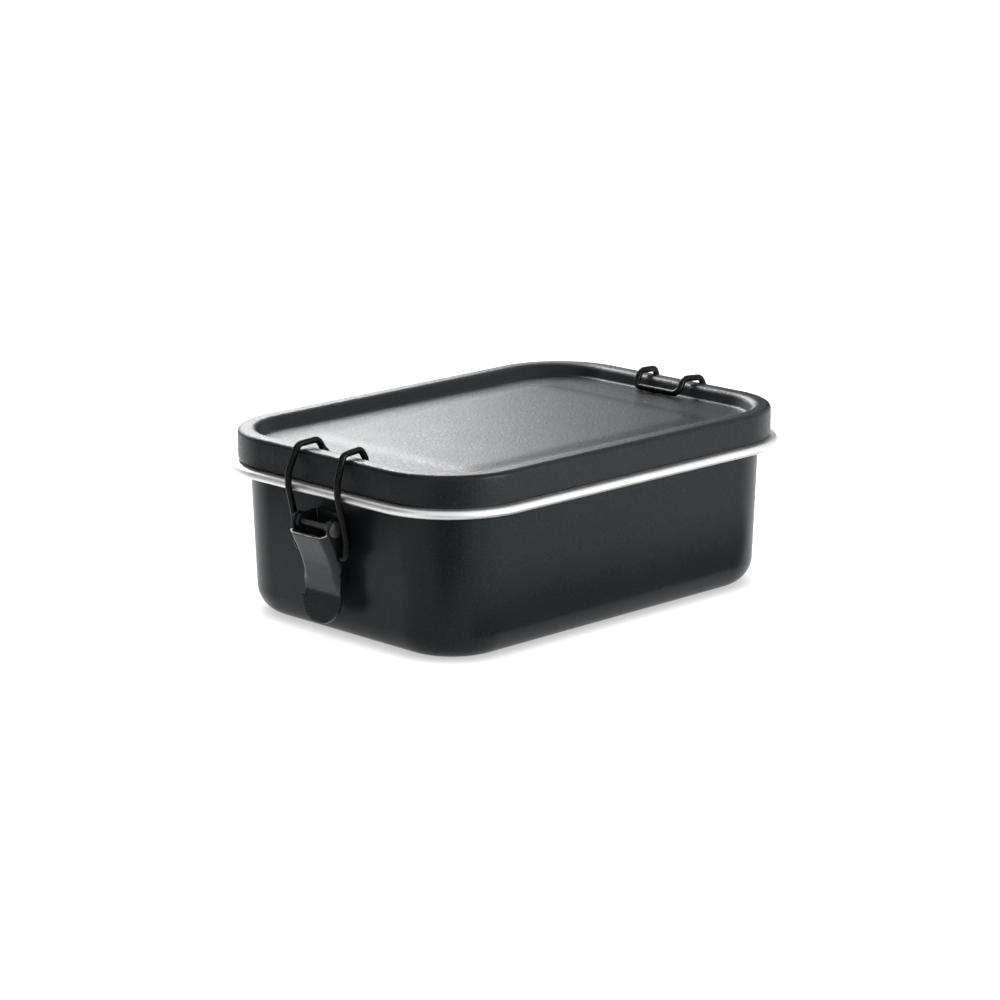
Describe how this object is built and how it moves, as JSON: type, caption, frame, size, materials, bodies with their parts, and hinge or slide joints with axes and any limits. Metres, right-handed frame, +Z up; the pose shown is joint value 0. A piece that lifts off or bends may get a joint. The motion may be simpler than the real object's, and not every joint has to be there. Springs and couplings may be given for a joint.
{
  "type": "lunch box",
  "caption": "Low rectangular metal lunch box with a rolled steel rim, a lift-off lid with a sunken top, and an over-centre lever latch with a wire bail at each end",
  "frame": {"origin": "middle of the flat face that the box stands on", "axes": "+X along the box, through both latches; +Z up"},
  "size_m": [0.1796, 0.121, 0.0645],
  "materials": {
    "tub_paint": "satin black powder coat",
    "lid_paint": "satin black powder coat with a fine grain",
    "latch_paint": "smooth satin black paint",
    "wire_coat": "matt black coated spring wire",
    "pin_steel": "blackened steel",
    "bare_steel": "bare satin stainless steel",
    "silicone": "matt black silicone"
  },
  "bodies": {
    "tub_body": {"tub": "tub_paint", "left_bracket": "latch_paint", "left_pivot_pin": "pin_steel", "right_bracket": "latch_paint", "right_pivot_pin": "pin_steel"},
    "lid_body": {"lid": "lid_paint", "lid_seal": "silicone"},
    "left_lever_body": {"left_lever": "latch_paint"},
    "left_bail_body": {"left_wire_bail": "wire_coat"},
    "right_lever_body": {"right_lever": "latch_paint"},
    "right_bail_body": {"right_wire_bail": "wire_coat"}
  },
  "joints": [
    {"name": "lid_lift", "type": "slide", "parent": "tub_body", "child": "lid_body", "axis": [0, 0, 1], "range_m": [0, 0.04]},
    {"name": "left_lever_swing", "type": "hinge", "parent": "tub_body", "child": "left_lever_body", "pos_m": [-0.085, 0, 0.039], "axis": [0, 1, 0], "range_deg": [0, 150]},
    {"name": "left_bail_swing", "type": "hinge", "parent": "left_lever_body", "child": "left_bail_body", "pos_m": [-0.083, 0, 0.0295], "axis": [0, 1, 0], "range_deg": [-210, 0], "deforming": ["left_wire_bail"]},
    {"name": "right_lever_swing", "type": "hinge", "parent": "tub_body", "child": "right_lever_body", "pos_m": [0.085, 0, 0.039], "axis": [0, -1, 0], "range_deg": [0, 150]},
    {"name": "right_bail_swing", "type": "hinge", "parent": "right_lever_body", "child": "right_bail_body", "pos_m": [0.083, 0, 0.0295], "axis": [0, -1, 0], "range_deg": [-210, 0], "deforming": ["right_wire_bail"]}
  ],
  "couplings": [
    {"joint": "left_bail_swing", "follows": "left_lever_swing", "ratio": -1.4},
    {"joint": "right_bail_swing", "follows": "right_lever_swing", "ratio": -1.4}
  ]
}
